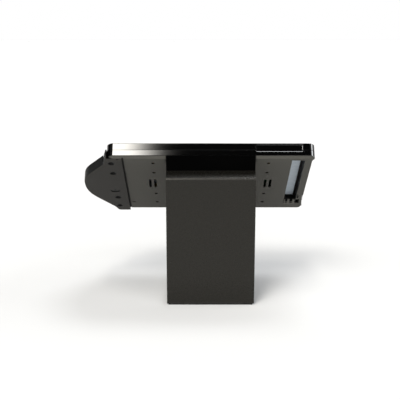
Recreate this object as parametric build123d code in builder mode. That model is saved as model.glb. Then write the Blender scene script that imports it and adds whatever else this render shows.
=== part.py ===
"""Counter terminal for logging visitors: a wide touch screen that leans back on a folded steel stand.

Millimetres, +Z up. The origin is the middle of the footprint, on the counter. The screen faces -Y and up,
the card reader wing is at +X, and the upright of the stand is at the back, at +Y.
"""

from build123d import *
from math import cos, radians, sin
import os

os.makedirs("parts", exist_ok=True)

# Stand, folded from one steel sheet
stand_width = 172.0
base_depth = 230.0
riser_height = 257.5          # counter to the corner where the upright meets the top flange
sheet = 3.0
bend_radius = 5.0             # outside of each bend
flange_rise = 20.0            # degrees that the top flange climbs towards the front
pad_thickness = 2.0           # rubber pad under the base
pad_inset = 3.0
fixing_spacing_x = 120.0      # holes for bolting the base to a counter
fixing_spacing_y = 150.0
fixing_hole = 5.5

# Tilt hinge
pivot_setback = 36.8          # rear of the upright to the hinge pin
knuckle_radius = 5.0
pin_radius = 2.5
running_clearance = 0.05      # radial, pin in the stand's knuckles
hinge_standoff = 5.75         # pin axis to the flange, and to the back of the terminal
hinge_spacing = 80.0          # between the two hinges
stand_knuckle = 20.0
plate_knuckle = 8.0
washer = 1.0
washer_gap = 0.15
pin_head_radius = 4.0
pin_head = 1.5
hinge_drop = 20.0             # pin axis below the top edge of the terminal, along its back

# Terminal casing
screen_angle = 39.5           # degrees between the back of the terminal and the counter
screen_width = 403.0
screen_height = 246.0
corner_radius = 13.0
rear_depth = 11.0             # rear frame
groove = 0.8                  # shadow gap between the two frames
groove_inset = 1.2
front_depth = 14.7            # front frame
frame_wall = 4.0
frame_rail = 13.0             # solid sides of the rear frame, which the covers screw into
front_edge = 1.5
glass_width = 380.0
glass_height = 228.0
glass_thickness = 2.8
glass_corner = 6.0
glass_gap = 0.2
bezel_lip = 1.5               # ledge that the glass is bonded to
bezel_ledge = 5.0             # width of that ledge

# Inside the casing
panel_width = 363.8
panel_height = 215.9
panel_depth = 5.9
panel_gap = 0.2
chassis_width = 386.0
chassis_height = 224.0
chassis = 1.2
board_width = 186.5
board_height = 150.0
board_top = 55.0              # top edge of the board below the top edge of the terminal
board = 1.6
board_spacer = 1.6
spacer_radius = 3.0
post_radius = 4.5
post_clearance = 0.8

# Rear cover
cover_inset = 1.5
cover_depth = 4.5             # how far it stands proud of the rear frame
cover_skin = 2.5
cover_bevel = cover_depth - 0.1
cover_rim = 9.0
screw_x = 112.3               # both columns of cover screws, either side of the stand
screw_rows = (25.5, 67.5, 166.5, 209.3)
screw_recess_radius = 3.25
screw_recess = 1.5
screw_head_radius = 2.8
screw_head = 2.0
thread_radius = 1.5
screw_length = 7.5
tie_slot_x = 117.0            # pair of cable tie slots in each column
tie_slot_pair = 10.25
tie_slot_row = 117.8
tie_slot_length = 37.4
tie_slot_width = 5.2
reset_hole_x = 162.0
reset_hole_row = 208.8
reset_hole_length = 7.6
reset_hole_width = 3.2

# Mounting plate, let into the rear cover and carried by the chassis
plate_width = 116.0
plate_top = 9.0
plate_bottom = 135.0
plate_gap = 0.3
plate_spacing = 75.0
plate_first_row = 45.0

# Connector bay
bay_inner = 157.5
bay_outer = 182.6
bay_top = 13.8
bay_bottom = 221.8
bay_depth = 18.5              # from the outside of the rear cover
bay_wall = 1.5
shield = 1.0
shield_margin = 5.5
shield_end = 12.5             # short of the lower end of the bay
comb_teeth = ((160.2, 2.0), (168.0, 4.4), (178.7, 4.4))    # place and width of each
comb_length = 22.0
comb_base = 3.8
comb_reach = 5.5              # depth of the base, from the outside of the rear cover
port_clearance = 0.3
port_lip = 0.8
port_wall = 0.8
port_tongue_margin = 2.4      # each side of the contact tongue
jack_bore = 6.2
tie_loop_x = 185.6            # hole beside the bay for a cable tie
tie_loop_row = 183.0
tie_loop_length = 13.0
tie_loop_width = 3.4
exit_width = 8.0              # where the cables cross the edge of the cover, beside the comb
exit_top = 197.0
exit_bottom = 217.0

# Side of the casing beside the bay
side_step = 4.5
side_step_top = 18.0
side_step_bottom = 177.0
cable_notch = 8.0
cable_notch_end = 1.6
cable_notch_bottom = 240.0
cover_step_gap = 0.4
front_step_lap = 2.0          # the front frame stands out this far past the step

# Peripheral bay in the top edge
top_bay_start = 86.0
top_bay_end = 179.0
top_bay_low = 7.5
top_bay_high = 25.3
top_bay_scoop = 2.2
top_bay_slope = 5.9
top_bay_fit = 0.15
top_bay_cap = 1.8

# Card reader wing
wing_seam = screen_width / 2 - 29.7    # inner edge of the pad that laps over the rear cover
seam_groove = 3.0             # shadow groove in the rear cover along that edge
seam_groove_depth = 1.6
wing_proud = 4.0              # above the rear cover
wing_pad_gap = 0.2
wing_split = 3.0              # joint between its two halves
wing_face = 15.5
wing_gap = 0.3
wing_wall = 2.2
wing_edge = 3.5
wing_front_edge = 2.5
wing_bulge = 54.0             # how far it reaches past the side of the casing
wing_end_gap = 1.0
wing_tail = 4.6               # the lower end tucks in under the casing
wing_tail_radius = 8.0
wing_hip = 3.0                # bend above the tail
wing_hip_row = 227.6
wing_hip_radius = 6.0
wing_bulge_start = 86.5       # rows between which the bulge runs straight, before its corners are rounded
wing_bulge_end = 153.3
wing_upper_radius = 78.0
wing_lower_radius = 100.0
wing_waist = 7.2
wing_waist_row = 24.0
wing_waist_radius = 18.0
wing_shoulder = 1.5
wing_shoulder_radius = 4.0
wing_bevel = 8.5              # slope at the upper end of the back
wing_end_floor = 0.5          # bottom of the shallow part of the cavity, under that slope
wing_end_row = 12.0           # where the full depth of the cavity begins
wing_screw_x = screen_width / 2 - 8.5
wing_screw_rows = (19.6, 62.7, 177.1, 219.0)
wing_dish_radius = 6.5
wing_screw_head_radius = 3.0
grip_x = screen_width / 2 - 5.7        # crescent where a nail lifts the back of the wing, and the arrow above it
grip_row = 141.5
grip_radius = 10.0
grip_width = 6.5
grip_depth = 0.8
arrow_row = 145.2
arrow_width = 5.0
arrow_height = 13.2
end_mark_x = screen_width / 2 - 21.1   # small rounded mark on the slope at the upper end
end_mark_row = 4.4
end_mark_radius = 3.4
end_mark_level = -4.3
slot_x = screen_width / 2 + 8.0
slot_width = 2.0
slot_wall = 2.0
slot_floor = -1.5
slot_base = 1.5
head_row = 115.0
head_length = 11.4
head_height = 9.4
head_body = 6.5
head_proud = 0.4
head_clearance = 0.3
head_spring = 0.4
head_spring_length = 34.0
head_level = 6.0

# Buttons and sound
button_x = 150.0
button_length = 14.0
button_width = 5.0
button_level = 18.0
button_proud = 0.6
button_clearance = 0.3
button_collar = 1.5
button_travel = 0.9
button_flange = 1.0
speaker_size = (36.0, 20.0, 12.0)

# Places worked out from the sizes above
riser_y = base_depth / 2
frame_depth = rear_depth + groove + front_depth
rise = radians(flange_rise)
flange_forward = Vector(0, -cos(rise), sin(rise))
flange_up = Vector(0, sin(rise), cos(rise))
flange_corner = Vector(0, riser_y, riser_height)
pivot_foot = flange_corner + flange_forward * ((pivot_setback + hinge_standoff * sin(rise)) / cos(rise))
pivot = pivot_foot + flange_up * hinge_standoff
lean = radians(screen_angle)
up_panel = Vector(0, cos(lean), sin(lean))
out_of_screen = Vector(0, -sin(lean), cos(lean))
half_height = screen_height / 2
terminal_centre = (
    pivot + out_of_screen * (hinge_standoff + cover_depth) - up_panel * (half_height - hinge_drop)
)

# The back of the casing frame, seen from the front: X to the right, Y up the panel, Z out of the screen
terminal = Plane(origin=terminal_centre, x_dir=(1, 0, 0), z_dir=out_of_screen)
# The same place seen from the +X side: X up the panel, Y out of the screen
side_view = Plane(origin=terminal_centre, x_dir=up_panel, z_dir=(1, 0, 0))
# The same place seen from below: Y out of the screen, X to the left
edge_view = Plane(origin=terminal_centre, x_dir=(-1, 0, 0), z_dir=up_panel)


def below_top(distance):
    """Height on the terminal's own Y axis of a point this far below its top edge."""
    return half_height - distance


def panel_point(distance, height):
    """Point on the middle plane, this far below the top edge and above the back of the casing frame."""
    return terminal_centre + up_panel * below_top(distance) + out_of_screen * height


def save(part, name):
    part.label = name
    export_step(part, f"parts/{name}.step")


# ---------------------------------------------------------------- stand

flange_end = pivot_foot + flange_forward * knuckle_radius

with BuildPart() as stand_sheet:
    with BuildSketch(Plane.YZ.offset(-stand_width / 2)):
        with BuildLine():
            half = sheet / 2
            corner_drop = (half - half * sin(rise)) / cos(rise)
            FilletPolyline(
                (-base_depth / 2, pad_thickness + half),
                (riser_y - half, pad_thickness + half),
                (riser_y - half, riser_height - corner_drop),
                (flange_end.Y - flange_up.Y * half, flange_end.Z - flange_up.Z * half),
                radius=bend_radius - half,
            )
        trace(line_width=sheet)
    extrude(amount=stand_width)
    with BuildSketch(Plane.XY.offset(pad_thickness)):
        with GridLocations(fixing_spacing_x, fixing_spacing_y, 2, 2):
            Circle(fixing_hole / 2)
    extrude(amount=sheet, mode=Mode.SUBTRACT)
save(stand_sheet.part, "stand_sheet")

with BuildPart() as rubber_pad:
    with BuildSketch(Plane.XY):
        Rectangle(stand_width - 2 * pad_inset, base_depth - 2 * pad_inset)
        with GridLocations(fixing_spacing_x, fixing_spacing_y, 2, 2):
            Circle(fixing_hole / 2, mode=Mode.SUBTRACT)
    extrude(amount=pad_thickness)
save(rubber_pad.part, "rubber_pad")


# ---------------------------------------------------------------- tilt hinge

def knuckle_web(direction, along):
    """Four corners of the block that carries a knuckle, from the pin down to a face hinge_standoff away."""
    corners = (
        pivot + along * knuckle_radius,
        pivot + along * knuckle_radius + direction * hinge_standoff,
        pivot - along * knuckle_radius + direction * hinge_standoff,
        pivot - along * knuckle_radius,
    )
    return [(corner.Y, corner.Z) for corner in corners]


hinge_places = (-hinge_spacing / 2, hinge_spacing / 2)
plate_knuckle_start = stand_knuckle / 2 + washer + 2 * washer_gap

with BuildPart() as hinge_blocks:
    for place in hinge_places:
        with BuildSketch(Plane.YZ.offset(place - stand_knuckle / 2)):
            with Locations((pivot.Y, pivot.Z)):
                Circle(knuckle_radius)
            Polygon(*knuckle_web(flange_up * -1, flange_forward), align=None)
            with Locations((pivot.Y, pivot.Z)):
                Circle(pin_radius + running_clearance, mode=Mode.SUBTRACT)
        extrude(amount=stand_knuckle)
save(hinge_blocks.part, "hinge_blocks")

plate_face = -cover_depth
mount_holes = [
    (x, below_top(plate_first_row + row * plate_spacing))
    for x in (-plate_spacing / 2, plate_spacing / 2)
    for row in (0, 1)
]

with BuildPart() as mount_plate:
    with BuildSketch(terminal.offset(plate_face)):
        with Locations((0, below_top((plate_top + plate_bottom) / 2))):
            Rectangle(plate_width, plate_bottom - plate_top)
        with Locations(*mount_holes):
            Circle(thread_radius, mode=Mode.SUBTRACT)
    extrude(amount=cover_skin)
    for place in hinge_places:
        for start in (place + plate_knuckle_start, place - plate_knuckle_start - plate_knuckle):
            with BuildSketch(Plane.YZ.offset(start)):
                with Locations((pivot.Y, pivot.Z)):
                    Circle(knuckle_radius)
                Polygon(*knuckle_web(out_of_screen, up_panel), align=None)
            extrude(amount=plate_knuckle)
            with BuildSketch(Plane.YZ.offset(start)):
                with Locations((pivot.Y, pivot.Z)):
                    Circle(pin_radius)
            extrude(amount=plate_knuckle, mode=Mode.SUBTRACT)
save(mount_plate.part, "mount_plate")

with BuildPart() as hinge_pins:
    reach = plate_knuckle_start + plate_knuckle
    for place in hinge_places:
        outward = 1 if place > 0 else -1
        with BuildSketch(Plane.YZ.offset(place - reach)):
            with Locations((pivot.Y, pivot.Z)):
                Circle(pin_radius)
        extrude(amount=2 * reach)
        with BuildSketch(Plane.YZ.offset(place + outward * reach)):
            with Locations((pivot.Y, pivot.Z)):
                Circle(pin_head_radius)
        extrude(amount=outward * pin_head)
save(hinge_pins.part, "hinge_pins")

with BuildPart() as friction_washers:
    for place in hinge_places:
        for start in (
            place + plate_knuckle_start - washer,
            place - plate_knuckle_start,
        ):
            with BuildSketch(Plane.YZ.offset(start)):
                with Locations((pivot.Y, pivot.Z)):
                    Circle(knuckle_radius - washer_gap)
                    Circle(pin_radius, mode=Mode.SUBTRACT)
            extrude(amount=washer)
save(friction_washers.part, "friction_washers")

# Black cover over the hinge: a wedge whose rear wall stands upright above the flange
head_rear_setback = 27.0
head_wall = 2.5
head_rub_gap = 0.35
head_lip_gap = 0.25
head_top_drop = 1.1
head_rear_y = riser_y - head_rear_setback
cover_edge_low = panel_point(cover_inset + cover_bevel, -cover_depth)
cover_edge_high = panel_point(cover_inset, 0)
frame_edge = panel_point(0, 0)
nose_radius = hinge_standoff - head_rub_gap

with BuildPart() as head_cover:
    with BuildSketch(Plane.YZ.offset(-stand_width / 2)):
        flange_rub = pivot - flange_up * nose_radius
        corner_reach = (head_rear_y - flange_rub.Y) / cos(rise)
        lower_corner = flange_rub - flange_forward * corner_reach
        back_rub = pivot + out_of_screen * (hinge_standoff - head_lip_gap)
        lip_low = cover_edge_low - out_of_screen * head_lip_gap + Vector(0, head_lip_gap, 0)
        Polygon(
            (lower_corner.Y, lower_corner.Z),
            (head_rear_y, frame_edge.Z - head_top_drop),
            (cover_edge_high.Y + head_lip_gap, frame_edge.Z - head_top_drop),
            (lip_low.Y, lip_low.Z),
            (back_rub.Y, back_rub.Z),
            (pivot.Y, pivot.Z),
            (flange_rub.Y, flange_rub.Z),
            align=None,
        )
        with Locations((pivot.Y, pivot.Z)):
            Circle(nose_radius)
    extrude(amount=stand_width)
    with BuildSketch(Plane.YZ.offset(-stand_width / 2 + head_wall)):
        with Locations((head_rear_y - head_wall, pivot.Z)):
            Rectangle(screen_height, screen_height, align=(Align.MAX, Align.CENTER))
    extrude(amount=stand_width - 2 * head_wall, mode=Mode.SUBTRACT)
save(head_cover.part, "head_cover")


# ---------------------------------------------------------------- casing frames

def side_cut(gap):
    """Outline that sets the casing's -X side in beside the connector bay, and in again at the cable exit."""
    outside = -screen_width / 2 - frame_wall
    edge = -screen_width / 2 + side_step + gap
    notch = -screen_width / 2 + cable_notch + gap
    return [
        (outside, below_top(side_step_top)),
        (edge, below_top(side_step_top)),
        (edge, below_top(side_step_bottom)),
        (notch, below_top(side_step_bottom)),
        (-screen_width / 2 + cable_notch_end + gap, below_top(cable_notch_bottom)),
        (outside, below_top(cable_notch_bottom)),
    ]


top_bay_centre = -(top_bay_start + top_bay_end) / 2
top_bay_length = top_bay_end - top_bay_start
wing_screw_places = [(wing_screw_x, below_top(row)) for row in wing_screw_rows]
opening_width = screen_width - 2 * frame_rail
opening_height = screen_height - 2 * frame_wall

with BuildPart() as rear_frame:
    with BuildSketch(terminal):
        RectangleRounded(screen_width, screen_height, corner_radius)
    extrude(amount=rear_depth)
    with BuildSketch(terminal.offset(rear_depth)):
        tongue_width = screen_width - 2 * groove_inset
        RectangleRounded(tongue_width, screen_height - 2 * groove_inset, corner_radius - groove_inset)
    extrude(amount=groove)
    with BuildSketch(terminal):
        Rectangle(opening_width, opening_height)
    extrude(amount=rear_depth + groove, mode=Mode.SUBTRACT)
    with BuildSketch(terminal):
        Polygon(*side_cut(0), align=None)
    extrude(amount=rear_depth, mode=Mode.SUBTRACT)
    with BuildSketch(terminal):
        with Locations(*wing_screw_places):
            Circle(thread_radius)
    extrude(amount=screw_length, mode=Mode.SUBTRACT)
    with BuildSketch(terminal.offset(top_bay_low)):
        with Locations((top_bay_centre, half_height - frame_wall)):
            Rectangle(top_bay_length, 2 * frame_wall, align=(Align.CENTER, Align.MIN))
    extrude(amount=rear_depth + groove - top_bay_low, mode=Mode.SUBTRACT)
save(rear_frame.part, "rear_frame")

front_start = rear_depth + groove
glass_level = frame_depth - glass_thickness
button_place = (-button_x, button_level)

with BuildPart() as front_frame:
    with BuildSketch(terminal.offset(front_start)):
        RectangleRounded(screen_width, screen_height, corner_radius)
    extrude(amount=front_depth)
    front_face = front_frame.faces().filter_by(Plane(terminal_centre, z_dir=out_of_screen)).sort_by(
        Axis(terminal_centre, out_of_screen)
    )[-1]
    fillet(front_face.edges(), radius=front_edge)
    with BuildSketch(terminal.offset(front_start)):
        pocket_height = screen_height - 2 * frame_wall
        RectangleRounded(screen_width - 2 * frame_wall, pocket_height, corner_radius - frame_wall)
    extrude(amount=glass_level - bezel_lip - front_start, mode=Mode.SUBTRACT)
    with BuildSketch(terminal.offset(glass_level)):
        RectangleRounded(glass_width, glass_height, glass_corner)
    extrude(amount=glass_thickness, mode=Mode.SUBTRACT)
    with BuildSketch(terminal.offset(glass_level - bezel_lip)):
        Rectangle(glass_width - 2 * bezel_ledge, glass_height - 2 * bezel_ledge)
    extrude(amount=bezel_lip, mode=Mode.SUBTRACT)
    with BuildSketch(terminal.offset(front_start)):
        with Locations((top_bay_centre, half_height - frame_wall)):
            Rectangle(top_bay_length, 2 * frame_wall, align=(Align.CENTER, Align.MIN))
    extrude(amount=top_bay_high - front_start, mode=Mode.SUBTRACT)
    with BuildSketch(edge_view.offset(-half_height)):
        with Locations(button_place):
            SlotOverall(button_length + 2 * button_clearance, button_width + 2 * button_clearance)
    extrude(amount=frame_wall, mode=Mode.SUBTRACT)
    with BuildSketch(terminal.offset(front_start)):
        Polygon(*side_cut(-front_step_lap), align=None)
    extrude(amount=front_depth, mode=Mode.SUBTRACT)
save(front_frame.part, "front_frame")

with BuildPart() as touch_glass:
    with BuildSketch(terminal.offset(glass_level)):
        RectangleRounded(glass_width - 2 * glass_gap, glass_height - 2 * glass_gap, glass_corner - glass_gap)
    extrude(amount=glass_thickness)
save(touch_glass.part, "touch_glass")

panel_level = glass_level - panel_gap - panel_depth

with BuildPart() as display_panel:
    with BuildSketch(terminal.offset(panel_level)):
        Rectangle(panel_width, panel_height)
    extrude(amount=panel_depth)
save(display_panel.part, "display_panel")

chassis_level = panel_level - chassis

with BuildPart() as chassis_plate:
    with BuildSketch(terminal.offset(chassis_level)):
        Rectangle(chassis_width, chassis_height)
    extrude(amount=chassis)
save(chassis_plate.part, "chassis_plate")


# ---------------------------------------------------------------- rear cover and what holds it

screw_places = [(side * screw_x, below_top(row)) for side in (-1, 1) for row in screw_rows]
slot_places = [
    (side * (tie_slot_x + step * tie_slot_pair / 2), below_top(tie_slot_row))
    for side in (-1, 1)
    for step in (-1, 1)
]
bay_centre = (-(bay_inner + bay_outer) / 2, below_top((bay_top + bay_bottom) / 2))
bay_width = bay_outer - bay_inner
bay_length = bay_bottom - bay_top
plate_centre = (0, below_top((plate_top + plate_bottom) / 2))

with BuildPart() as rear_cover:
    with BuildSketch(terminal.offset(-cover_depth)):
        cover_height = screen_height - 2 * cover_inset
        RectangleRounded(screen_width - 2 * cover_inset, cover_height, corner_radius - cover_inset)
    extrude(amount=cover_depth)
    back_face = rear_cover.faces().filter_by(Plane(terminal_centre, z_dir=out_of_screen)).sort_by(
        Axis(terminal_centre, out_of_screen)
    )[0]
    chamfer(back_face.edges(), length=cover_bevel)
    with BuildSketch(terminal.offset(-cover_depth + cover_skin)):
        Rectangle(opening_width, cover_height - 2 * cover_rim)
    extrude(amount=cover_depth, mode=Mode.SUBTRACT)
    with BuildSketch(terminal.offset(-cover_depth)):
        with Locations(bay_centre):
            Rectangle(bay_width, bay_length)
        with Locations(*screw_places):
            Circle(screw_recess_radius)
        with Locations(*slot_places):
            SlotOverall(tie_slot_length, tie_slot_width, rotation=90)
        with Locations((reset_hole_x, below_top(reset_hole_row))):
            SlotOverall(reset_hole_length, reset_hole_width)
        with Locations(*wing_screw_places):
            Circle(thread_radius)
        with Locations(plate_centre):
            Rectangle(plate_width + 2 * plate_gap, plate_bottom - plate_top + 2 * plate_gap)
        with Locations((-tie_loop_x, below_top(tie_loop_row))):
            SlotOverall(tie_loop_length, tie_loop_width, rotation=90)
        with Locations((-bay_outer, below_top((exit_top + exit_bottom) / 2))):
            Rectangle(2 * exit_width, exit_bottom - exit_top)
        Polygon(*side_cut(cover_step_gap), align=None)
    extrude(amount=cover_depth, mode=Mode.SUBTRACT)
    with BuildSketch(terminal.offset(-cover_depth)):
        with Locations((wing_seam - seam_groove, 0)):
            Rectangle(seam_groove, screen_height, align=(Align.MIN, Align.CENTER))
    extrude(amount=seam_groove_depth, mode=Mode.SUBTRACT)
save(rear_cover.part, "rear_cover")

skin_level = -cover_depth + cover_skin

with BuildPart() as cover_posts:
    with BuildSketch(terminal.offset(skin_level)):
        with Locations(*screw_places):
            Circle(post_radius)
    extrude(amount=chassis_level - skin_level)
    with BuildSketch(terminal.offset(skin_level)):
        with Locations(*screw_places):
            Circle(screw_recess_radius)
    extrude(amount=screw_recess, mode=Mode.SUBTRACT)
    with BuildSketch(terminal.offset(skin_level + screw_recess)):
        with Locations(*screw_places):
            Circle(thread_radius)
    extrude(amount=screw_length, mode=Mode.SUBTRACT)
save(cover_posts.part, "cover_posts")

with BuildPart() as cover_screws:
    with BuildSketch(terminal.offset(skin_level + screw_recess - screw_head)):
        with Locations(*screw_places):
            Circle(screw_head_radius)
    extrude(amount=screw_head)
    with BuildSketch(terminal.offset(skin_level + screw_recess)):
        with Locations(*screw_places):
            Circle(thread_radius)
    extrude(amount=screw_length)
save(cover_screws.part, "cover_screws")

with BuildPart() as mount_posts:
    with BuildSketch(terminal.offset(skin_level)):
        with Locations(*mount_holes):
            Circle(post_radius)
    extrude(amount=chassis_level - skin_level)
    with BuildSketch(terminal.offset(skin_level)):
        with Locations(*mount_holes):
            Circle(thread_radius)
    extrude(amount=screw_length, mode=Mode.SUBTRACT)
save(mount_posts.part, "mount_posts")

with BuildPart() as mount_screws:
    with BuildSketch(terminal.offset(plate_face)):
        with Locations(*mount_holes):
            Circle(thread_radius)
    extrude(amount=cover_skin + screw_length)
    with BuildSketch(terminal.offset(plate_face - screw_head)):
        with Locations(*mount_holes):
            Circle(screw_head_radius)
    extrude(amount=screw_head)
save(mount_screws.part, "mount_screws")


# ---------------------------------------------------------------- connector bay

bay_floor = -cover_depth + bay_depth
board_level = chassis_level - board_spacer - board
# Each port: name, places along the bay, length along the bay, height off the board, depth into the casing
ports = (
    ("power_jack", (70.0,), 11.0, 11.0, 14.0),
    ("network_port", (90.0,), 16.0, 13.4, 21.0),
    ("usb_ports", (109.0, 127.0, 145.0, 163.0), 13.2, 6.4, 17.0),
    ("video_port", (182.0,), 15.2, 6.0, 12.0),
)

with BuildPart() as bay_tray:
    with BuildSketch(terminal.offset(skin_level)):
        with Locations(bay_centre):
            Rectangle(bay_width + 2 * bay_wall, bay_length + 2 * bay_wall)
    extrude(amount=bay_floor + bay_wall - skin_level)
    with BuildSketch(terminal.offset(skin_level)):
        with Locations(bay_centre):
            Rectangle(bay_width, bay_length)
    extrude(amount=bay_floor - skin_level, mode=Mode.SUBTRACT)
    for _, rows, length, height, _ in ports:
        with BuildSketch(side_view.offset(-bay_inner - bay_wall)):
            for row in rows:
                with Locations((below_top(row), board_level)):
                    opening = (length + 2 * port_clearance, height + port_clearance)
                    Rectangle(*opening, align=(Align.CENTER, Align.MAX))
        extrude(amount=3 * bay_wall, mode=Mode.SUBTRACT)
save(bay_tray.part, "bay_tray")

with BuildPart() as bay_shield:
    with BuildSketch(terminal.offset(bay_floor - shield)):
        with Locations((-bay_inner - port_lip - port_clearance, below_top(bay_top))):
            Rectangle(bay_width - shield_margin, bay_length - shield_end, align=(Align.MAX, Align.MAX))
    extrude(amount=shield)
save(bay_shield.part, "bay_shield")

with BuildPart() as cable_comb:
    comb_foot = below_top(bay_bottom)
    with BuildSketch(terminal.offset(-cover_depth)):
        with Locations((bay_centre[0], comb_foot)):
            Rectangle(bay_width, comb_base, align=(Align.CENTER, Align.MIN))
    extrude(amount=comb_reach)
    with BuildSketch(terminal.offset(-cover_depth)):
        for tooth_x, tooth_width in comb_teeth:
            with Locations((-tooth_x, comb_foot)):
                Rectangle(tooth_width, comb_length, align=(Align.CENTER, Align.MIN))
    extrude(amount=cover_skin)
save(cable_comb.part, "cable_comb")

for name, rows, length, height, depth in ports:
    with BuildPart() as port:
        with BuildSketch(side_view.offset(-bay_inner - port_lip)):
            for row in rows:
                with Locations((below_top(row), board_level)):
                    Rectangle(length, height, align=(Align.CENTER, Align.MAX))
        extrude(amount=depth)
        with BuildSketch(side_view.offset(-bay_inner - port_lip)):
            for row in rows:
                with Locations((below_top(row), board_level - height / 2)):
                    if name == "power_jack":
                        Circle(jack_bore / 2)
                    else:
                        Rectangle(length - 2 * port_wall, height - 2 * port_wall)
        extrude(amount=depth - 2 * port_wall, mode=Mode.SUBTRACT)
        if name != "network_port":
            with BuildSketch(side_view.offset(-bay_inner)):
                for row in rows:
                    with Locations((below_top(row), board_level - height / 2)):
                        if name == "power_jack":
                            Circle(port_wall)
                        else:
                            Rectangle(length - 2 * port_tongue_margin, port_wall)
            extrude(amount=depth - 2 * port_wall)
    save(port.part, name)


# ---------------------------------------------------------------- electronics

board_right = -bay_inner + bay_wall + 2 * port_clearance + board_width
board_centre = (board_right - board_width / 2, below_top(board_top + board_height / 2))
spacer_places = [
    (board_centre[0] + x * (board_width / 2 - 2 * spacer_radius), board_centre[1] + y)
    for x in (-1, 1)
    for y in (spacer_radius * 2 - board_height / 2, board_height / 2 - spacer_radius * 2)
]

with BuildPart() as main_board:
    with BuildSketch(terminal.offset(board_level)):
        with Locations(board_centre):
            Rectangle(board_width, board_height)
        with Locations(*screw_places, *mount_holes):
            Circle(post_radius + post_clearance, mode=Mode.SUBTRACT)
    extrude(amount=board)
save(main_board.part, "main_board")

with BuildPart() as board_spacers:
    with BuildSketch(terminal.offset(board_level + board)):
        with Locations(*spacer_places):
            Circle(spacer_radius)
    extrude(amount=board_spacer)
save(board_spacers.part, "board_spacers")

sink_size = 50.0
sink_base = 3.0
sink_height = 11.0
fin = 1.2
fin_count = 12

with BuildPart() as heat_sink:
    sink_place = (-(screw_x + plate_spacing / 2) / 2, below_top(board_top + board_height / 2))
    with BuildSketch(terminal.offset(board_level - sink_base)):
        with Locations(sink_place):
            Rectangle(sink_size, sink_size)
    extrude(amount=sink_base)
    with BuildSketch(terminal.offset(board_level - sink_height)):
        with Locations(sink_place):
            with GridLocations((sink_size - fin) / (fin_count - 1), 0, fin_count, 1):
                Rectangle(fin, sink_size)
    extrude(amount=sink_height - sink_base)
save(heat_sink.part, "heat_sink")

memory_size = (69.6, 30.0, 3.8)

with BuildPart() as memory_module:
    with BuildSketch(terminal.offset(board_level - memory_size[2])):
        with Locations((sink_place[0] + post_radius, below_top(board_top + board_height) + memory_size[1])):
            Rectangle(memory_size[0], memory_size[1])
    extrude(amount=memory_size[2])
save(memory_module.part, "memory_module")

drive_size = (22.0, 80.0, 3.5)

with BuildPart() as storage_drive:
    with BuildSketch(terminal.offset(board_level - drive_size[2])):
        with Locations((board_right - drive_size[0], board_centre[1])):
            Rectangle(drive_size[0], drive_size[1])
    extrude(amount=drive_size[2])
save(storage_drive.part, "storage_drive")

with BuildPart() as speakers:
    with BuildSketch(terminal.offset(skin_level)):
        for side in (-1, 1):
            speaker_x = screw_x + side * (post_radius * 2 + speaker_size[0] / 2)
            with Locations((speaker_x, below_top(screw_rows[-1]))):
                Rectangle(speaker_size[0], speaker_size[1])
    extrude(amount=speaker_size[2])
save(speakers.part, "speakers")


# ---------------------------------------------------------------- top edge cover and power button

with BuildPart() as top_bay_cover:
    outer = half_height
    inner = half_height - frame_wall + top_bay_fit
    low = top_bay_low + top_bay_fit
    high = top_bay_high - top_bay_fit
    length = top_bay_length - 2 * top_bay_fit
    with BuildSketch(side_view.offset(-top_bay_end + top_bay_fit)):
        Polygon((inner, low), (outer, low), (outer, high), (inner, high), align=None)
    extrude(amount=length)
    with BuildSketch(side_view.offset(-top_bay_end + top_bay_fit + top_bay_cap)):
        scoop = outer - top_bay_scoop
        Polygon(
            (outer, low),
            (scoop, low + top_bay_slope),
            (scoop, high - top_bay_cap),
            (outer, high - top_bay_cap),
            align=None,
        )
    extrude(amount=length - 2 * top_bay_cap, mode=Mode.SUBTRACT)
save(top_bay_cover.part, "top_bay_cover")

collar_start = -half_height + frame_wall + button_clearance / 2

with BuildPart() as power_button:
    with BuildSketch(edge_view.offset(-half_height - button_proud)):
        with Locations(button_place):
            SlotOverall(button_length, button_width)
    extrude(amount=button_proud + frame_wall + button_clearance / 2)
    with BuildSketch(edge_view.offset(collar_start)):
        with Locations(button_place):
            SlotOverall(button_length + 2 * button_collar, button_width + 2 * button_collar)
    extrude(amount=button_flange)
save(power_button.part, "power_button")

with BuildPart() as button_switch:
    switch_start = collar_start + button_flange + button_travel + button_clearance
    with BuildSketch(edge_view.offset(switch_start)):
        with Locations(button_place):
            Rectangle(button_length, button_width)
    extrude(amount=-chassis_height / 2 - switch_start)
save(button_switch.part, "button_switch")


# ---------------------------------------------------------------- card reader wing

wing_back_level = -cover_depth - wing_proud
side_x = screen_width / 2
wing_inner = side_x + wing_gap


with BuildSketch() as wing_plan:
    top_line = below_top(wing_end_gap)
    with BuildLine():
        FilletPolyline(
            (wing_seam, -half_height),
            (side_x - wing_tail, -half_height),
            (side_x + wing_hip, below_top(wing_hip_row)),
            (side_x + wing_bulge, below_top(wing_bulge_end)),
            (side_x + wing_bulge, below_top(wing_bulge_start)),
            (side_x + wing_waist, below_top(wing_waist_row)),
            (side_x + wing_shoulder, top_line),
            (wing_seam, top_line),
            radius=[
                wing_tail_radius,
                wing_hip_radius,
                wing_lower_radius,
                wing_upper_radius,
                wing_waist_radius,
                wing_shoulder_radius,
            ],
        )
        Line((wing_seam, top_line), (wing_seam, -half_height))
    make_face()

with BuildSketch() as wing_body_plan:
    add(wing_plan.sketch)
    with Locations((wing_inner, 0)):
        Rectangle(2 * wing_bulge, screen_height, align=(Align.MIN, Align.CENTER), mode=Mode.INTERSECT)

with BuildSketch() as wing_cavity:
    add(wing_body_plan.sketch)
    offset(amount=-wing_wall, kind=Kind.INTERSECTION, mode=Mode.REPLACE)

with BuildSketch() as wing_deep_cavity:
    add(wing_cavity.sketch)
    with Locations((wing_inner, below_top(wing_end_row))):
        Rectangle(2 * wing_bulge, screen_height, align=(Align.MIN, Align.MAX), mode=Mode.INTERSECT)

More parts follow.
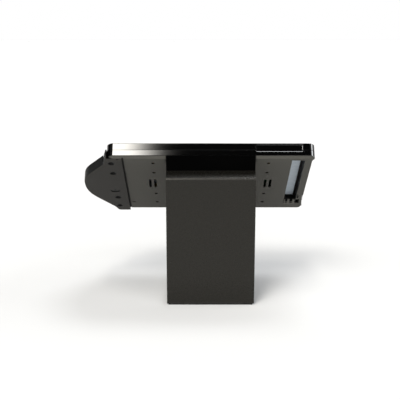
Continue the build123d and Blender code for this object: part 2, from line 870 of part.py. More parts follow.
with BuildPart() as wing_back:
    with BuildSketch(terminal.offset(wing_back_level)):
        add(wing_plan.sketch)
    extrude(amount=wing_split - wing_back_level)
    rear = wing_back.faces().filter_by(Plane(terminal_centre, z_dir=out_of_screen)).sort_by(
        Axis(terminal_centre, out_of_screen)
    )[0]
    outer_edges = rear.edges().sort_by(Axis.X)[1:]
    fillet(outer_edges, radius=wing_edge)
    with BuildSketch(terminal.offset(-cover_depth - wing_pad_gap)):
        with Locations((wing_inner, 0)):
            Rectangle(screen_width, 2 * screen_height, align=(Align.MAX, Align.CENTER))
    extrude(amount=cover_depth + wing_pad_gap + wing_split, mode=Mode.SUBTRACT)
    with BuildSketch(side_view.offset(wing_seam)):
        Polygon(
            (top_line, wing_back_level + wing_bevel),
            (top_line, wing_back_level),
            (top_line - wing_bevel, wing_back_level),
            align=None,
        )
    extrude(amount=2 * wing_bulge, mode=Mode.SUBTRACT)
    with BuildSketch(terminal.offset(wing_back_level + wing_wall)):
        add(wing_deep_cavity.sketch)
    extrude(amount=wing_split - wing_back_level, mode=Mode.SUBTRACT)
    with BuildSketch(terminal.offset(wing_end_floor)):
        add(wing_cavity.sketch)
    extrude(amount=wing_split - wing_end_floor, mode=Mode.SUBTRACT)
    with BuildSketch(terminal.offset(wing_back_level)):
        with Locations((grip_x, below_top(grip_row))):
            Circle(grip_radius)
        with Locations((grip_x, below_top(grip_row - grip_width))):
            Circle(grip_radius, mode=Mode.SUBTRACT)
        Polygon(
            (grip_x - arrow_width / 2, below_top(arrow_row)),
            (grip_x + arrow_width / 2, below_top(arrow_row)),
            (grip_x, below_top(arrow_row - arrow_height)),
            align=None,
        )
    extrude(amount=grip_depth, mode=Mode.SUBTRACT)
    with BuildSketch(terminal.offset(wing_back_level)):
        with Locations((end_mark_x, below_top(end_mark_row))):
            Circle(end_mark_radius)
    extrude(amount=end_mark_level - wing_back_level, mode=Mode.SUBTRACT)
    with BuildSketch(terminal.offset(slot_floor)):
        with Locations((slot_x, 0)):
            Rectangle(slot_width, 2 * screen_height)
    extrude(amount=wing_split - slot_floor, mode=Mode.SUBTRACT)
    for place in wing_screw_places:
        with Locations(terminal.offset(wing_back_level) * Location((place[0], place[1], 0), (180, 0, 0))):
            CounterSinkHole(wing_screw_head_radius + running_clearance, wing_dish_radius, counter_sink_angle=120)
save(wing_back.part, "wing_back")

with BuildPart() as wing_front:
    with BuildSketch(terminal.offset(wing_split)):
        add(wing_plan.sketch)
    extrude(amount=wing_face - wing_split)
    front = wing_front.faces().filter_by(Plane(terminal_centre, z_dir=out_of_screen)).sort_by(
        Axis(terminal_centre, out_of_screen)
    )[-1]
    chamfer(front.edges().sort_by(Axis.X)[1:], length=wing_front_edge)
    with BuildSketch(terminal.offset(wing_split)):
        with Locations((wing_inner, 0)):
            Rectangle(screen_width, 2 * screen_height, align=(Align.MAX, Align.CENTER))
    extrude(amount=wing_face - wing_split, mode=Mode.SUBTRACT)
    with BuildSketch(terminal.offset(wing_split)):
        add(wing_cavity.sketch)
    extrude(amount=wing_face - wing_split - wing_wall, mode=Mode.SUBTRACT)
    with BuildSketch(terminal.offset(slot_floor - slot_base)):
        add(wing_cavity.sketch)
        offset(amount=-wing_pad_gap, kind=Kind.INTERSECTION, mode=Mode.REPLACE)
        with Locations((slot_x, 0)):
            Rectangle(slot_width + 2 * slot_wall, screen_height, mode=Mode.INTERSECT)
    extrude(amount=wing_face - wing_wall - slot_floor + slot_base)
    with BuildSketch(terminal.offset(slot_floor)):
        with Locations((slot_x, 0)):
            Rectangle(slot_width, 2 * screen_height)
    extrude(amount=wing_face - slot_floor, mode=Mode.SUBTRACT)
    with BuildSketch(side_view.offset(slot_x + slot_width / 2)):
        with Locations((below_top(head_row), head_level)):
            Rectangle(head_length + 2 * head_clearance, head_height + 2 * head_clearance)
    extrude(amount=slot_wall, mode=Mode.SUBTRACT)
save(wing_front.part, "wing_front")

head_nose = slot_x + slot_width / 2 - head_proud

with BuildPart() as read_head:
    with BuildSketch(side_view.offset(head_nose)):
        with Locations((below_top(head_row), head_level)):
            Rectangle(head_length, head_height)
    extrude(amount=head_body)
save(read_head.part, "read_head")

with BuildPart() as head_leaf_spring:
    with BuildSketch(side_view.offset(head_nose + head_body)):
        with Locations((below_top(head_row), head_level)):
            SlotOverall(head_spring_length, head_height / 2)
    extrude(amount=head_spring)
save(head_leaf_spring.part, "head_leaf_spring")

reader_board_size = (20.0, 56.0, 1.6)

with BuildPart() as reader_board:
    with BuildSketch(terminal.offset(wing_back_level + wing_wall)):
        with Locations((head_nose + head_body + 4 * head_clearance, below_top(head_row))):
            Rectangle(reader_board_size[0], reader_board_size[1], align=(Align.MIN, Align.CENTER))
    extrude(amount=reader_board_size[2])
save(reader_board.part, "reader_board")

wing_screw_seat = -cover_depth - wing_pad_gap

with BuildPart() as wing_screws:
    with BuildSketch(terminal.offset(wing_screw_seat - screw_head)):
        with Locations(*wing_screw_places):
            Circle(wing_screw_head_radius)
    extrude(amount=screw_head)
    with BuildSketch(terminal.offset(wing_screw_seat)):
        with Locations(*wing_screw_places):
            Circle(thread_radius)
    extrude(amount=-wing_screw_seat + screw_length)
save(wing_screws.part, "wing_screws")
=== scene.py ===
"""A counter terminal for logging visitors: a wide touch screen on a folded steel stand."""

from math import cos, pi, radians, sin

import bmesh
import bpy
from mathutils import Matrix, Vector


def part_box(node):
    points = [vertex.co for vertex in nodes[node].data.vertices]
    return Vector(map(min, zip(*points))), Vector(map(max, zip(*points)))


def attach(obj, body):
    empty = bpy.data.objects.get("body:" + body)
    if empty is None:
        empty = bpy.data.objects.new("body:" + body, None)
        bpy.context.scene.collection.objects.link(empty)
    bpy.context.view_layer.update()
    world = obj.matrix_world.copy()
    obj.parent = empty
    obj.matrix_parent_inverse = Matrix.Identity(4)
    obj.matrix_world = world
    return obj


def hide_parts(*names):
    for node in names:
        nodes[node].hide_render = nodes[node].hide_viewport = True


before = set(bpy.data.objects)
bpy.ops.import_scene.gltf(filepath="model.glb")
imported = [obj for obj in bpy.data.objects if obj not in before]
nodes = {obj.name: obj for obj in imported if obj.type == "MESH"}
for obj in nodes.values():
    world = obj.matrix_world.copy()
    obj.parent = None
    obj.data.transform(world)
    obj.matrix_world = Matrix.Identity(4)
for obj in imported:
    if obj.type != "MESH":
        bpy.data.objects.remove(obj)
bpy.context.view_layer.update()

# --------------------------------------------------------------------------------------------------
# The studio: a pale counter top that runs out of sight, and a camera behind the terminal that looks
# a little down on it. The lamps stand high, so the upright gloss black edges of the casing stay black.

camera_place = (0.0208, 1.6762, 0.6471)
camera_tilt = radians(90 - 15.43)
camera_lens = 76.2
camera_sensor = 36

camera = bpy.data.objects.new("camera", bpy.data.cameras.new("camera"))
camera.data.lens = camera_lens
camera.data.sensor_width = camera_sensor
camera.location = camera_place
camera.rotation_euler = (camera_tilt, 0, pi)
bpy.context.scene.collection.objects.link(camera)
bpy.context.scene.camera = camera
bpy.context.scene.view_settings.view_transform = "Standard"


class Wire:
    """One output of a shader node. Arithmetic on it adds the Math nodes."""

    def __init__(self, socket):
        self.socket = socket

    @staticmethod
    def node(tree, kind, settings=None, inputs=None, output=0):
        """Adds a node: its settings first, then the values or wires of its sockets."""
        made = tree.nodes.new(kind)
        for name, value in (settings or {}).items():
            setattr(made, name, value)
        for name, value in (inputs or {}).items():
            if isinstance(value, Wire):
                tree.links.new(value.socket, made.inputs[name])
            else:
                made.inputs[name].default_value = value
        return Wire(made.outputs[output]) if made.outputs else None

    def math(self, operation, first, second=0.0):
        tree = self.socket.id_data
        return Wire.node(tree, "ShaderNodeMath", {"operation": operation}, {0: first, 1: second})

    def __add__(self, other):
        return self.math("ADD", self, other)

    def __radd__(self, other):
        return self.math("ADD", other, self)

    def __sub__(self, other):
        return self.math("SUBTRACT", self, other)

    def __rsub__(self, other):
        return self.math("SUBTRACT", other, self)

    def __mul__(self, other):
        return self.math("MULTIPLY", self, other)

    def __rmul__(self, other):
        return self.math("MULTIPLY", other, self)

    def step(self, low, high):
        """0 at low, 1 at high, smooth between."""
        settings = {"interpolation_type": "SMOOTHSTEP"}
        ends = {0: self, 1: low, 2: high}
        return Wire.node(self.socket.id_data, "ShaderNodeMapRange", settings, ends)

    def parts(self):
        """The three numbers of a vector."""
        split = Wire.node(self.socket.id_data, "ShaderNodeSeparateXYZ", inputs={0: self}).socket.node
        return [Wire(split.outputs[axis]) for axis in range(3)]


strip_power = 12.0        # long lamp above and behind, on the wing's side
strip_slant = 4.0         # how fast its rear edge runs out sideways
key_power = 12.5          # soft key light, high behind the wing
front_power = 9.0         # broad lamp above the front
side_power = 6.0          # window on the connector side
fill_power = 2.05         # pale wall behind the camera
glow_power = 0.5          # daylight from the front
room_power = 0.012
warm_white = (1.0, 0.965, 0.90)
cool_white = (0.975, 0.99, 1.0)

world = bpy.data.worlds.new("studio")
bpy.context.scene.world = world
world.use_nodes = True
sky = world.node_tree
sky.nodes.clear()
toward_x, toward_y, toward_z = Wire.node(sky, "ShaderNodeTexCoord").parts()


def patch(*edges):
    """A soft-edged patch of the sky: each edge has a direction, where it is dark and where it is lit."""
    wire, dark, lit = edges[0]
    inside = wire.step(dark, lit)
    for wire, dark, lit in edges[1:]:
        inside = inside * wire.step(dark, lit)
    return inside


def background(colour, strength):
    inputs = {"Color": (*colour, 1), "Strength": strength}
    return Wire.node(sky, "ShaderNodeBackground", inputs=inputs)


fade = patch((toward_y - toward_x * strip_slant, 0.34, 0.0))
fade = fade * fade
strip = fade * fade * patch((toward_x, 0.20, 0.15), (toward_y, 0.0, 0.15), (toward_z, 0.7, 0.8))
key = patch((toward_x, 0.15, 0.25), (toward_x, 0.5, 0.4), (toward_y, 0.36, 0.46), (toward_z, 0.6, 0.68))
front = patch(
    (toward_y, -0.24, -0.3), (toward_x, -0.45, -0.35), (toward_x, 0.02, -0.06), (toward_z, 0.8, 0.86)
)
window = patch(
    (toward_x, -0.70, -0.78), (toward_z, 0.40, 0.47), (toward_z, 0.70, 0.62), (toward_y, 0.14, 0.06)
)
glow = patch((toward_y, -0.2, -0.6), (toward_z, -0.1, 0.1))
fill = patch((toward_y, 0.15, 0.35), (toward_z, 0.15, 0.25), (toward_z, 0.84, 0.72))
warm = strip * strip_power + key * key_power
cool = front * front_power + window * side_power + fill * fill_power + glow * glow_power + room_power
lamps = {0: background(warm_white, warm), 1: background(cool_white, cool)}
lamp = Wire.node(sky, "ShaderNodeAddShader", inputs=lamps)
paper = background((1, 1, 1), 1.0)
seen = Wire.node(sky, "ShaderNodeLightPath")
shown = Wire.node(sky, "ShaderNodeMixShader", inputs={0: seen, 1: lamp, 2: paper})
Wire.node(sky, "ShaderNodeOutputWorld", inputs={0: shown})


def finish(name):
    """A new material with its tree, its Principled shader and a wire of the piece's own coordinates."""
    material = bpy.data.materials.new(name)
    material.use_nodes = True
    tree = material.node_tree
    shader = tree.nodes["Principled BSDF"]
    place = Wire.node(tree, "ShaderNodeTexCoord", output=3)
    return material, tree, shader, place


def feed(shader, **sockets):
    """Puts wires or plain values on the shader's own sockets: Base_Color stands for Base Color."""
    for name, value in sockets.items():
        socket = shader.inputs[name.replace("_", " ")]
        if isinstance(value, Wire):
            shader.id_data.links.new(value.socket, socket)
        elif isinstance(value, tuple):
            socket.default_value = (*value, 1)
        else:
            socket.default_value = value


def noise(tree, place, scale, detail=2.0, roughness=0.5):
    inputs = {"Vector": place, "Scale": scale, "Detail": detail, "Roughness": roughness}
    return Wire.node(tree, "ShaderNodeTexNoise", inputs=inputs)


def tint(tree, factor, first, second):
    """A colour between two, through a Mix node. Either may be a wire."""
    ends = [end if isinstance(end, Wire) else (*end, 1) for end in (first, second)]
    inputs = {0: factor, 6: ends[0], 7: ends[1]}
    return Wire.node(tree, "ShaderNodeMix", {"data_type": "RGBA"}, inputs, output=2)


def relief(tree, height, strength, distance):
    """A Bump node, for the Normal socket."""
    inputs = {"Height": height, "Strength": strength, "Distance": distance}
    return Wire.node(tree, "ShaderNodeBump", inputs=inputs)


def shade(colour, amount):
    return tuple(channel * amount for channel in colour)


floor_half = 6.0
floor_white = (0.72, 0.72, 0.72)
floor_mesh = bpy.data.meshes.new("counter_top")
corners = [(x * floor_half, y * floor_half, 0) for x, y in ((-1, -1), (1, -1), (1, 1), (-1, 1))]
floor_mesh.from_pydata(corners, [], [(0, 1, 2, 3)])
counter_top = bpy.data.objects.new("counter_top", floor_mesh)
bpy.context.scene.collection.objects.link(counter_top)
material, tree, shader, place = finish("counter_white")
cloud = noise(tree, place, 1.1)
feed(shader, Base_Color=tint(tree, cloud, shade(floor_white, 0.98), floor_white))
feed(shader, Roughness=0.9 - cloud * 0.1, Specular_IOR_Level=0.0)
floor_mesh.materials.append(material)

# --------------------------------------------------------------------------------------------------
# Stand: one sheet of 3 mm steel, laser cut, folded at the counter and again at the top, then powder
# coated near black. The coat has a fine orange peel, and a painted highlight makes it paler over the
# sharp edges and folds.

coat_black = (0.0045, 0.0042, 0.0034)
same_point = 1e-6           # corners closer than this are one corner
flat_angle = radians(0.5)   # faces that meet at less than this are one face


def link(name, mesh, body, replaced=()):
    """Puts a finished mesh in the scene, on a body, in place of CAD nodes."""
    piece = bpy.data.objects.new(name, mesh)
    bpy.context.scene.collection.objects.link(piece)
    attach(piece, body)
    if replaced:
        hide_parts(*replaced)
    return piece


def softened(name, body, edge, segments=2, crease=28.0):
    """A piece in place of a CAD node: the same shape, with its sharp edges slightly rounded."""
    shape = bmesh.new()
    shape.from_mesh(nodes[name].data)
    bmesh.ops.remove_doubles(shape, verts=shape.verts, dist=same_point)
    bmesh.ops.dissolve_limit(shape, angle_limit=flat_angle, verts=shape.verts, edges=shape.edges)
    mesh = bpy.data.meshes.new(name + "_finished")
    shape.verts.index_update()
    mesh.from_pydata(
        [vertex.co[:] for vertex in shape.verts],
        [],
        [[vertex.index for vertex in face.verts] for face in shape.faces],
    )
    shape.free()
    mesh.shade_smooth()
    mesh.set_sharp_from_angle(angle=radians(crease))
    piece = link(name + "_finished", mesh, body, (name,))
    rounding = piece.modifiers.new("rounding", "BEVEL")
    rounding.width = edge
    rounding.segments = segments
    rounding.limit_method = "ANGLE"
    rounding.angle_limit = radians(crease)
    even = piece.modifiers.new("even", "WEIGHTED_NORMAL")
    even.weight = 100
    even.keep_sharp = True
    return piece


stand = softened("stand_sheet", "stand", 0.0004)
material, tree, shader, place = finish("powder_coat")
peel = noise(tree, place, 900.0, 3.0, 0.6)
patches = noise(tree, place, 9.0, 3.0)
# Painted highlight: the base colour is lighter where the mesh is pointy, over the folds and sharp edges.
fold_highlight = Wire.node(tree, "ShaderNodeNewGeometry", output=7).step(0.52, 0.58)
coat = tint(tree, patches.step(0.35, 0.75), shade(coat_black, 0.96), shade(coat_black, 1.05))
feed(shader, Base_Color=tint(tree, fold_highlight * 0.5, coat, shade(coat_black, 1.7)))
feed(shader, Roughness=0.21 + peel * 0.08 + patches * 0.04, Specular_IOR_Level=0.38)
feed(shader, Specular_Tint=(1.0, 0.96, 0.88))
feed(shader, Normal=relief(tree, peel, 0.05, 0.0004))
stand.data.materials.append(material)

# --------------------------------------------------------------------------------------------------
# Pad: a sheet of black rubber under the base, so that the stand neither slides nor scratches. It has
# clearance holes for the counter screws and a fine moulded cross grain on the underside.

rib_pitch = 2600.0        # radians of rib for each metre
pad = softened("rubber_pad", "stand", 0.0003)
material, tree, shader, place = finish("pad_rubber")
along_x, along_y = place.parts()[:2]
ribs = along_x.math("SINE", along_x * rib_pitch) * along_y.math("SINE", along_y * rib_pitch)
dust = noise(tree, place, 30.0, 5.0)
feed(shader, Base_Color=tint(tree, dust.step(0.45, 0.75), (0.012, 0.012, 0.012), (0.03, 0.029, 0.027)))
feed(shader, Roughness=0.78 + dust * 0.12, Normal=relief(tree, ribs, 0.5, 0.0003))
pad.data.materials.append(material)

# --------------------------------------------------------------------------------------------------
# Tilt hinge: zinc plated knuckles on the stand's flange and on the mounting plate, turned pins, and
# spring washers that clamp them so the screen stays where it is put.


def steel(name, colour, roughness, grain_scale=(40.0, 1400.0, 1400.0)):
    """Bright steel with a directional grain."""
    material, tree, shader, place = finish(name)
    stretch = Wire.node(tree, "ShaderNodeMapping", inputs={"Vector": place, "Scale": grain_scale})
    grain = noise(tree, stretch, 1.0, 4.0, 0.6)
    stain = noise(tree, place, 35.0, 4.0)
    feed(shader, Base_Color=tint(tree, stain.step(0.3, 0.7), shade(colour, 0.86), colour))
    feed(shader, Metallic=1.0, Roughness=roughness + grain * 0.15)
    feed(shader, Normal=relief(tree, grain, 0.12, 0.0002))
    return material


hinge_zinc = steel("hinge_zinc", (0.30, 0.30, 0.31), 0.38)
spring_bright = steel("spring_bright", (0.50, 0.49, 0.47), 0.26)
for name, body in (("hinge_blocks", "stand"), ("hinge_pins", "terminal"), ("mount_plate", "terminal")):
    softened(name, body, 0.0003).data.materials.append(hinge_zinc)
softened("friction_washers", "terminal", 0.00015).data.materials.append(spring_bright)

# --------------------------------------------------------------------------------------------------
# Head cover: a matt black moulding that hides the hinge. Its wall stands upright above the flange and
# it is sprayed with a soft-touch coat that takes up nearly all light.

head_black = (0.0006, 0.0006, 0.0006)
head = softened("head_cover", "terminal", 0.0004)
material, tree, shader, place = finish("soft_touch")
nap = noise(tree, place, 2200.0, 2.0)
rub = noise(tree, place, 18.0, 4.0)
feed(shader, Base_Color=tint(tree, rub.step(0.4, 0.8), head_black, shade(head_black, 1.5)))
feed(shader, Roughness=0.62 + nap * 0.1, Specular_IOR_Level=0.01, Normal=relief(tree, nap, 0.15, 0.0002))
head.data.materials.append(material)

# --------------------------------------------------------------------------------------------------
# Casing frames: two black mouldings with a shadow groove between them, polished in the mould. The top
# edge has a separate cover, scooped for a finger, over the bay for plug-in peripherals.

screen_angle = radians(39.5)
gloss_black = (0.0005, 0.0005, 0.0005)
dust_grey = (0.004, 0.004, 0.004)
rear_draft = 0.034        # slope of the rear frame's rim
haze_height = 0.000008


def piano_black(name, slope=0.0):
    """Black moulding polished in the mould. The slope leans its rim, as mould draft does."""
    material, tree, shader, place = finish(name)
    haze = noise(tree, place, 22.0, 4.0)
    dust = noise(tree, place, 1300.0, 1.0)
    swirl = noise(tree, place, 260.0, 5.0, 0.7)
    depth, up = place.parts()[1:]
    lean = (depth * sin(screen_angle) - up * cos(screen_angle)) * slope
    feed(shader, Base_Color=tint(tree, dust.step(0.7, 0.82), gloss_black, dust_grey))
    feed(shader, Roughness=0.02 + haze * 0.03, Coat_Weight=0.9 + swirl * 0.1, Coat_Roughness=0.04)
    feed(shader, Specular_IOR_Level=0.8, Normal=relief(tree, lean + haze * haze_height, 1.0, 1.0))
    return material


for name, edge, slope in (
    ("rear_frame", 0.0002, rear_draft),
    ("front_frame", 0.0001, 0.0),
    ("top_bay_cover", 0.0001, 0.0),
):
    frame_piece = softened(name, "terminal", edge, 3)
    frame_piece.data.materials.append(piano_black(name + "_gloss", slope))

# --------------------------------------------------------------------------------------------------
# Rear cover: a warm dark grey moulding with a fine spark-eroded texture, held by eight screws in deep
# recesses. The flow of the plastic leaves it very slightly uneven in tone, and painted shade darkens it
# in its recesses and crevices.

cover_grey = (0.076, 0.073, 0.064)


def moulded(name, colour, roughness=0.55, gloss=0.12, painted_shade_reach=0.0):
    """Textured plastic. Given a crevice reach, it gets painted shade: its colour darkens in crevices and
    recesses.
    """
    material, tree, shader, place = finish(name)
    grain = noise(tree, place, 1700.0, 2.0, 0.7)
    flow = noise(tree, place, 6.0, 4.0, 0.55)
    skin = tint(tree, flow.step(0.3, 0.7), shade(colour, 0.97), shade(colour, 1.03))
    # Painted shade: an ambient occlusion node darkens the colour where the plastic is hemmed in.
    if painted_shade_reach:
        kind = "ShaderNodeAmbientOcclusion"
        openness = Wire.node(tree, kind, {"samples": 8}, {"Distance": painted_shade_reach}, output=1)
        skin = tint(tree, openness.step(0.4, 0.95), shade(colour, 0.05), skin)
    feed(shader, Base_Color=skin, Roughness=roughness + grain * 0.12, Specular_IOR_Level=gloss)
    feed(shader, Normal=relief(tree, grain, 0.25, 0.0003))
    return material


cover_plastic = moulded("cover_texture", cover_grey, painted_shade_reach=0.007)
softened("rear_cover", "terminal", 0.0003).data.materials.append(cover_plastic)

# --------------------------------------------------------------------------------------------------
# Screws: black oxide pan heads with a cross recess, in the cover, the mounting plate and the wing.
# Each is turned around the middle of its CAD solid, along the normal of the terminal's back.

up_panel = Vector((0, cos(screen_angle), sin(screen_angle)))
out_of_screen = Vector((0, -sin(screen_angle), cos(screen_angle)))
across = Vector((1, 0, 0))


def middle(points):
    return sum(points, Vector()) / len(points)


def islands(name):
    """The separate solids of a node, as lists of their corner points."""
    shape = bmesh.new()
    shape.from_mesh(nodes[name].data)
    bmesh.ops.remove_doubles(shape, verts=shape.verts, dist=same_point)
    waiting = set(shape.verts)
    found = []
    while waiting:
        reached = [waiting.pop()]
        group = []
        while reached:
            vertex = reached.pop()
            group.append(vertex.co.copy())
            for edge in vertex.link_edges:
                other = edge.other_vert(vertex)
                if other in waiting:
                    waiting.remove(other)
                    reached.append(other)
        found.append(group)
    shape.free()
    return sorted(found, key=lambda group: tuple(round(value, 4) for value in middle(group)))


def turned(shape, base, axis, profile, side, count=32):
    """Adds a surface of revolution: profile holds (distance along the axis, radius)."""
    second = axis.cross(side)
    rings = []
    for distance, radius in profile:
        ring = []
        for turn in range(count):
            angle = 2 * pi * turn / count
            outward = side * cos(angle) + second * sin(angle)
            ring.append(shape.verts.new(base + axis * distance + outward * radius))
        rings.append(ring)
    for lower, upper in zip(rings, rings[1:]):
        for turn in range(count):
            after = (turn + 1) % count
            shape.faces.new((lower[turn], lower[after], upper[after], upper[turn]))
    return rings


def screws(name, material, twist):
    """Pan head screws with cross recesses, in place of the plain CAD screws."""
    head_height, cross_depth = 0.002, 0.0009
    point_radius, point_length = 0.0004, 0.0006
    crease = radians(35)
    shape = bmesh.new()
    for number, solid in enumerate(islands(name)):
        levels = [point.dot(out_of_screen) for point in solid]
        head_end, tip = min(levels), max(levels)
        centre = middle(solid)
        radius = max(point.x for point in solid) - centre.x
        shaft = [point for point, level in zip(solid, levels) if tip - level < 1e-4]
        shaft_radius = max(point.x for point in shaft) - centre.x
        axis = -out_of_screen
        base = centre - out_of_screen * centre.dot(out_of_screen)
        angle = twist * (number + 1)
        side = (Matrix.Rotation(angle, 3, axis) @ across).normalized()
        second = axis.cross(side)
        seat = head_end + head_height
        profile = [(-tip, point_radius), (-tip + point_length, shaft_radius)]
        profile += [(-seat, shaft_radius), (-seat, radius * 0.98), (-seat + 0.0003, radius)]
        profile += [(-head_end - 0.0007, radius), (-head_end - 0.0003, radius * 0.9)]
        profile += [(-head_end, radius * 0.68)]
        rings = turned(shape, base, axis, profile, side)
        top = rings[-1]
        count = len(top)
        arm, slot_half = radius * 0.52, radius * 0.11
        plan = []
        for quarter in range(4):
            first = side if quarter % 2 == 0 else second
            first = first * (1 if quarter < 2 else -1)
            next_axis = axis.cross(first)
            plan += [first * arm - next_axis * slot_half, first * arm + next_axis * slot_half]
            plan += [first * slot_half + next_axis * slot_half]
        mouth = [shape.verts.new(base + axis * -head_end + point) for point in plan]
        bottom = base + axis * (-head_end - cross_depth)
        floor = [shape.verts.new(bottom + point * 0.72) for point in plan]
        size = len(plan)
        for index in range(size):
            after = (index + 1) % size
            shape.faces.new((mouth[index], mouth[after], floor[after], floor[index]))
        shape.faces.new(floor)
        share = count // 4
        for quarter in range(4):
            start = quarter * share
            arc = [top[(start + step) % count] for step in range(share + 1)]
            inner = [mouth[(quarter * 3 + step) % size] for step in (1, 2, 3)]
            shape.faces.new(arc + inner[::-1])
            shape.faces.new((top[start], mouth[(quarter * 3 + 1) % size], mouth[(quarter * 3) % size]))
        shape.faces.new(rings[0][::-1])
    bmesh.ops.recalc_face_normals(shape, faces=shape.faces)
    mesh = bpy.data.meshes.new(name + "_turned")
    shape.to_mesh(mesh)
    shape.free()
    mesh.shade_smooth()
    mesh.set_sharp_from_angle(angle=crease)
    mesh.materials.append(material)
    return link(name + "_turned", mesh, "terminal", (name,))


material, tree, shader, place = finish("black_oxide")
black_oxide = material
scuff = noise(tree, place, 420.0, 4.0, 0.65)
feed(shader, Base_Color=tint(tree, scuff.step(0.5, 0.8), (0.002, 0.002, 0.002), (0.012, 0.011, 0.010)))
feed(shader, Roughness=0.5 + scuff * 0.2, Specular_IOR_Level=0.12)
feed(shader, Normal=relief(tree, scuff, 0.15, 0.0002))
for number, name in enumerate(("cover_screws", "mount_screws", "wing_screws")):
    screws(name, black_oxide, 0.6 + 0.5 * number)

# --------------------------------------------------------------------------------------------------
# Posts: turned brass, behind the cover and the mounting plate for their screws, and under the main board.
# They are closed in.

post_brass = steel("post_brass", (0.46, 0.36, 0.17), 0.35)
for name in ("cover_posts", "mount_posts", "board_spacers"):
    softened(name, "terminal", 0.0002).data.materials.append(post_brass)

# --------------------------------------------------------------------------------------------------
# Connector bay: a deep black tray let into the cover. Its floor is a zinc plated screening sheet, and
# its lower end has a comb of teeth that keeps the cables apart.

tray_black = moulded("tray_black", (0.0065, 0.0065, 0.0065), 0.5, 0.15)
softened("bay_tray", "terminal", 0.0003).data.materials.append(tray_black)
comb_grey = moulded("comb_grey", shade(cover_grey, 1.5))
softened("cable_comb", "terminal", 0.0003).data.materials.append(comb_grey)

zinc_blue = (0.45, 0.51, 0.57)
zinc_pale = (0.51, 0.57, 0.62)
material, tree, shader, place = finish("zinc_plate")
zinc_plate = material
brushed = noise(tree, place, 60.0, 4.0)
spangle = Wire.node(tree, "ShaderNodeTexVoronoi", inputs={"Vector": place, "Scale": 160.0}, output=1)
cell = spangle.parts()[0]
feed(shader, Base_Color=tint(tree, cell, zinc_blue, zinc_pale), Metallic=0.1 + brushed * 0.1)
feed(shader, Roughness=0.5 + brushed * 0.12, Normal=relief(tree, cell, 0.08, 0.0002))
softened("bay_shield", "terminal", 0.0002).data.materials.append(zinc_plate)

# --------------------------------------------------------------------------------------------------
# Ports: stamped tin-plated shells with black tongues, soldered along one edge of the main board. They
# face into the bay from its inner wall.

port_tin = steel("port_tin", (0.58, 0.57, 0.55), 0.30, (900.0, 60.0, 60.0))
port_black = moulded("port_black", (0.009, 0.009, 0.009), 0.45)
for name in ("network_port", "usb_ports", "video_port"):
    softened(name, "terminal", 0.00015).data.materials.append(port_tin)
softened("power_jack", "terminal", 0.0002).data.materials.append(port_black)

# --------------------------------------------------------------------------------------------------
# Screen: a liquid crystal panel on a zinc plated chassis, behind chemically toughened glass. The glass
# has a black printed border on its back, and inside it the unlit panel shows as a dark blue grey.

glass_low, glass_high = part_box("touch_glass")
glass_middle = (glass_low + glass_high) * 0.5
picture_half_width = 0.1724
picture_half_height = 0.1010
print_blur = 0.0002       # half the width over which the printed border ends

glass = softened("touch_glass", "terminal", 0.0003)
material, tree, shader, place = finish("black_glass")


def along(tree, place, direction, origin):
    """How far each point lies from origin along a direction."""
    kind = "ShaderNodeVectorMath"
    moved = Wire.node(tree, kind, {"operation": "SUBTRACT"}, {0: place, 1: tuple(origin)})
    return Wire.node(tree, kind, {"operation": "DOT_PRODUCT"}, {0: moved, 1: tuple(direction)}, output=1)


def within(wire, half):
    """1 where the wire is nearer to zero than half, 0 outside."""
    return wire.math("ABSOLUTE", wire).step(half + print_blur, half - print_blur)


inside_x = within(along(tree, place, across, glass_middle), picture_half_width)
inside_y = within(along(tree, place, up_panel, glass_middle), picture_half_height)
smear = noise(tree, place, 14.0, 5.0, 0.6)
fine = noise(tree, place, 300.0, 2.0)
picture = tint(tree, fine, (0.010, 0.011, 0.014), (0.013, 0.014, 0.018))
border = tint(tree, fine, (0.003, 0.003, 0.003), (0.004, 0.004, 0.004))
feed(shader, Base_Color=tint(tree, inside_x * inside_y, border, picture))
feed(shader, Roughness=0.03 + smear.step(0.45, 0.75) * 0.09, Coat_Weight=0.5, Coat_Roughness=0.02)
feed(shader, Normal=relief(tree, smear, 0.01, 0.0003))
glass.data.materials.append(material)

material, tree, shader, place = finish("panel_frame")
edge_dirt = noise(tree, place, 45.0, 4.0)
feed(shader, Base_Color=tint(tree, edge_dirt, (0.016, 0.016, 0.018), (0.028, 0.028, 0.030)))
feed(shader, Metallic=0.3 + edge_dirt * 0.1, Roughness=0.4 + edge_dirt * 0.2)
softened("display_panel", "terminal", 0.0004).data.materials.append(material)
softened("chassis_plate", "terminal", 0.0002).data.materials.append(zinc_plate)

# --------------------------------------------------------------------------------------------------
# Electronics: green boards with gold pads, an anodised finned heat sink, a memory module, a solid state
# drive and two boxed speakers. All of it is closed in behind the cover.


def board(name, mask, pitch):
    """Solder mask over fine copper tracks, with gold pads."""
    material, tree, shader, place = finish(name)
    tracks = Wire.node(
        tree,
        "ShaderNodeTexBrick",
        inputs={"Vector": place, "Scale": pitch, "Mortar Size": 0.03, "Color1": (0, 0, 0, 1)},
        output=1,
    )
    dots = Wire.node(tree, "ShaderNodeTexVoronoi", inputs={"Vector": place, "Scale": pitch * 3})
    pads = dots.step(0.16, 0.12)
    green = tint(tree, tracks, mask, shade(mask, 1.8))
    feed(shader, Base_Color=tint(tree, pads, green, (0.55, 0.40, 0.14)), Metallic=pads * 0.9)
    feed(shader, Roughness=0.35 - pads * 0.1, Normal=relief(tree, tracks, 0.2, 0.0002))
    return material


green_board = board("solder_mask", (0.006, 0.036, 0.016), 90.0)
for name in ("main_board", "memory_module", "reader_board"):
    softened(name, "terminal", 0.00015).data.materials.append(green_board)
anodised = steel("anodised_fins", (0.55, 0.55, 0.56), 0.42, (60.0, 700.0, 700.0))
softened("heat_sink", "terminal", 0.0001).data.materials.append(anodised)
softened("storage_drive", "terminal", 0.0002).data.materials.append(port_black)
speaker_box = moulded("speaker_box", (0.011, 0.011, 0.012), 0.6)
softened("speakers", "terminal", 0.0008).data.materials.append(speaker_box)

# --------------------------------------------------------------------------------------------------
# Power button: a satin key in the lower edge of the front frame, with a thin flange inside that keeps it
# captive, and the switch that it presses.

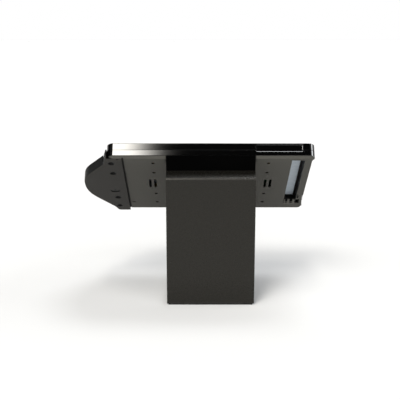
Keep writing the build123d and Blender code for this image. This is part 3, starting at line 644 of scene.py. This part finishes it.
key_satin = moulded("key_satin", (0.014, 0.014, 0.014), 0.35, 0.5)
softened("power_button", "button", 0.0003, 3).data.materials.append(key_satin)
softened("button_switch", "terminal", 0.0002).data.materials.append(port_black)

# --------------------------------------------------------------------------------------------------
# Card reader wing: two textured mouldings around a card slot, screwed to the side of the casing. The
# back laps over the rear cover; painted shade makes its +X rim, screw dishes and sunk mark smooth and
# nearly black, and darkens its crevices.

wing_grey = (0.032, 0.0302, 0.0272)
# Painted shade: the near-black colour for the wing's +X rim and for the floors of its dishes and mark.
rim_painted_shade = (0.0025, 0.0025, 0.0025)
wing_plastic = moulded("wing_texture", wing_grey, painted_shade_reach=0.006)
wing_painted_shade = moulded("wing_painted_shade", rim_painted_shade, 0.42, 0.1)
dish_radius = 0.0066
mark_middle = Vector((0.1958, -0.0163, 0.2014))
mark_radius = 0.0125
skin_depth = 0.0002       # faces deeper than this, in a dish or in the mark, count as sunk
hollows = [(middle(solid), dish_radius) for solid in islands("wing_screws")]
hollows.append((mark_middle, mark_radius))


def in_hollow(point):
    """Whether a point lies over a screw dish or the mark, along the normal of the back."""
    for hollow_middle, radius in hollows:
        offset = point - hollow_middle
        if (offset - out_of_screen * offset.dot(out_of_screen)).length < radius:
            return True
    return False


for name in ("wing_back", "wing_front"):
    half = softened(name, "terminal", 0.0004, 3)
    half.data.materials.append(wing_plastic)
    half.data.materials.append(wing_painted_shade)
    back = min(face.center.dot(out_of_screen) for face in half.data.polygons)
    for face in half.data.polygons:
        sunk = face.center.dot(out_of_screen) - back > skin_depth
        # Painted shade: rim faces turned to +X, and faces sunk in the dishes and the mark, take the
        # near-black material.
        painted_shade_rim = abs(face.normal.dot(out_of_screen)) < 0.5 and face.normal.dot(across) > 0.3
        if painted_shade_rim or (sunk and in_hollow(face.center)):
            face.material_index = 1

# --------------------------------------------------------------------------------------------------
# Read head: a lapped metal shoe with a fine magnetic gap, carried by a leaf spring that presses it
# against the card in the slot.

material, tree, shader, place = finish("lapped_head")
lapping = Wire.node(tree, "ShaderNodeMapping", inputs={"Vector": place, "Scale": (900.0, 900.0, 90.0)})
scratch = noise(tree, lapping, 1.0, 3.0, 0.6)
feed(shader, Base_Color=tint(tree, scratch, (0.50, 0.50, 0.51), (0.66, 0.66, 0.67)))
feed(shader, Metallic=1.0, Roughness=0.14 + scratch * 0.12, Normal=relief(tree, scratch, 0.08, 0.0001))
softened("read_head", "head", 0.0008, 4).data.materials.append(material)
softened("head_leaf_spring", "head", 0.0001).data.materials.append(spring_bright)
